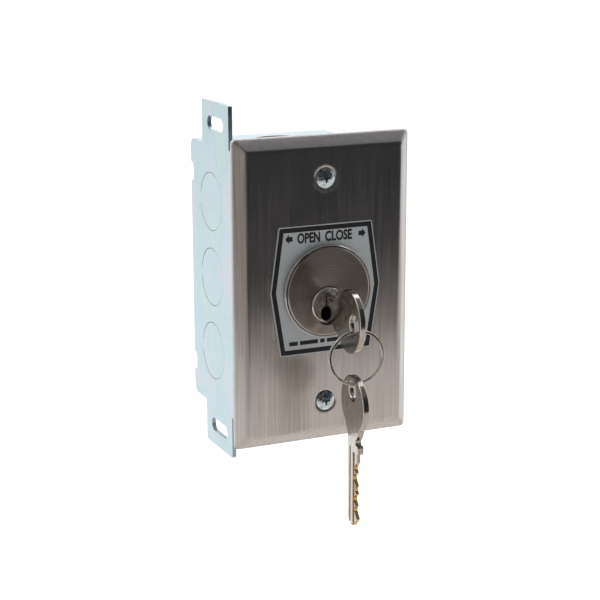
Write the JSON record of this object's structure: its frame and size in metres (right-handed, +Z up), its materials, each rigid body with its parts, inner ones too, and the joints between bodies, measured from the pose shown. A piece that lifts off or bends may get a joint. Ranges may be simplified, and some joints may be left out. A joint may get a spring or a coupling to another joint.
{
  "type": "selector key switch",
  "caption": "Flush-mounted key selector switch: brushed wall plate with round lock cylinder on a steel box with side ears; keys on a split ring.",
  "frame": {"origin": "centre of the cover plate, in the plane of its rear rim, which is the finished wall surface", "axes": "+X to the right and +Z up for a person facing the plate, +Y into the wall"},
  "size_m": [0.0698, 0.1003, 0.1481],
  "materials": {
    "zinc_sheet": "zinc-plated sheet, pale blue with a faint pink and green bloom",
    "brushed_stainless": "stainless sheet with a fine vertical brushed grain",
    "turned_nickel": "satin nickel with concentric turning marks",
    "bright_nickel": "bright nickel plate",
    "key_nickel": "nickel-plated key blank with bare brass in its cuts",
    "ring_nickel": "bright nickel-plated spring wire",
    "zinc_screw": "bright zinc plate",
    "label_face": "satin silver foil label with black print",
    "label_ink": "black print",
    "ground_green": "green-dyed zinc",
    "brass": "plain brass",
    "spring_steel": "bright spring steel",
    "switch_plastic": "black moulded thermoset",
    "plunger_plastic": "red moulded plastic"
  },
  "bodies": {
    "housing": {"box_shell": "zinc_sheet", "side_bracket": "zinc_sheet", "ground_screw": "ground_green", "cover_plate": "brushed_stainless", "cover_screws": "zinc_screw", "label": "label_face", "cylinder_body": "turned_nickel", "trim_ring": "bright_nickel", "chamber_cover": "brass", "driver_pins": "brass", "pin_springs": "spring_steel", "lock_nut": "zinc_screw", "switch_bracket": "zinc_sheet", "switch_screws": "zinc_screw", "switch_nuts": "zinc_screw", "switch_case_right": "switch_plastic", "switch_case_left": "switch_plastic", "terminals_right": "brass", "terminals_left": "brass", "contact_blades": "spring_steel"},
    "plug_assembly": {"plug": "bright_nickel", "bottom_pins": "brass", "cam": "zinc_screw", "cam_screws": "zinc_screw"},
    "key": {"key": "key_nickel"},
    "ring": {"split_ring": "ring_nickel"},
    "spare_key": {"spare_key": "key_nickel"},
    "lever_right": {"lever_right": "spring_steel"},
    "lever_left": {"lever_left": "spring_steel"},
    "plunger_right": {"plunger_right": "plunger_plastic"},
    "plunger_left": {"plunger_left": "plunger_plastic"}
  },
  "joints": [
    {"name": "plug_turn", "type": "hinge", "parent": "housing", "child": "plug_assembly", "pos_m": [0, 0, -0.0046], "axis": [0, 1, 0], "range_deg": [-30, 30], "stiffness_Nm_per_rad": 0.05},
    {"name": "key_withdraw", "type": "slide", "parent": "plug_assembly", "child": "key", "axis": [0, -1, 0], "range_m": [0, 0.03]},
    {"name": "ring_swing", "type": "hinge", "parent": "key", "child": "ring", "pos_m": [0, -0.0305, -0.0087], "axis": [0, 1, 0], "range_deg": [-24, 24]},
    {"name": "spare_key_swing", "type": "hinge", "parent": "ring", "child": "spare_key", "pos_m": [-0.0005, -0.0305, -0.0282], "axis": [1, 0, 0], "range_deg": [-25, 25]},
    {"name": "lever_right_turn", "type": "hinge", "parent": "housing", "child": "lever_right", "pos_m": [0.00325, 0.0268, 0.0094], "axis": [0, 1, 0], "range_deg": [-9, 9]},
    {"name": "lever_left_turn", "type": "hinge", "parent": "housing", "child": "lever_left", "pos_m": [-0.00325, 0.0268, 0.0094], "axis": [0, 1, 0], "range_deg": [-9, 9]},
    {"name": "plunger_right_press", "type": "slide", "parent": "housing", "child": "plunger_right", "axis": [-1, 0, 0], "range_m": [-0.00095, 0.00095]},
    {"name": "plunger_left_press", "type": "slide", "parent": "housing", "child": "plunger_left", "axis": [-1, 0, 0], "range_m": [-0.00095, 0.00095]}
  ],
  "couplings": [
    {"joint": "lever_right_turn", "follows": "plug_turn", "ratio": 0.3},
    {"joint": "lever_left_turn", "follows": "plug_turn", "ratio": 0.3},
    {"joint": "plunger_right_press", "follows": "plug_turn", "m_per_rad": 0.0018},
    {"joint": "plunger_left_press", "follows": "plug_turn", "m_per_rad": 0.0018}
  ]
}
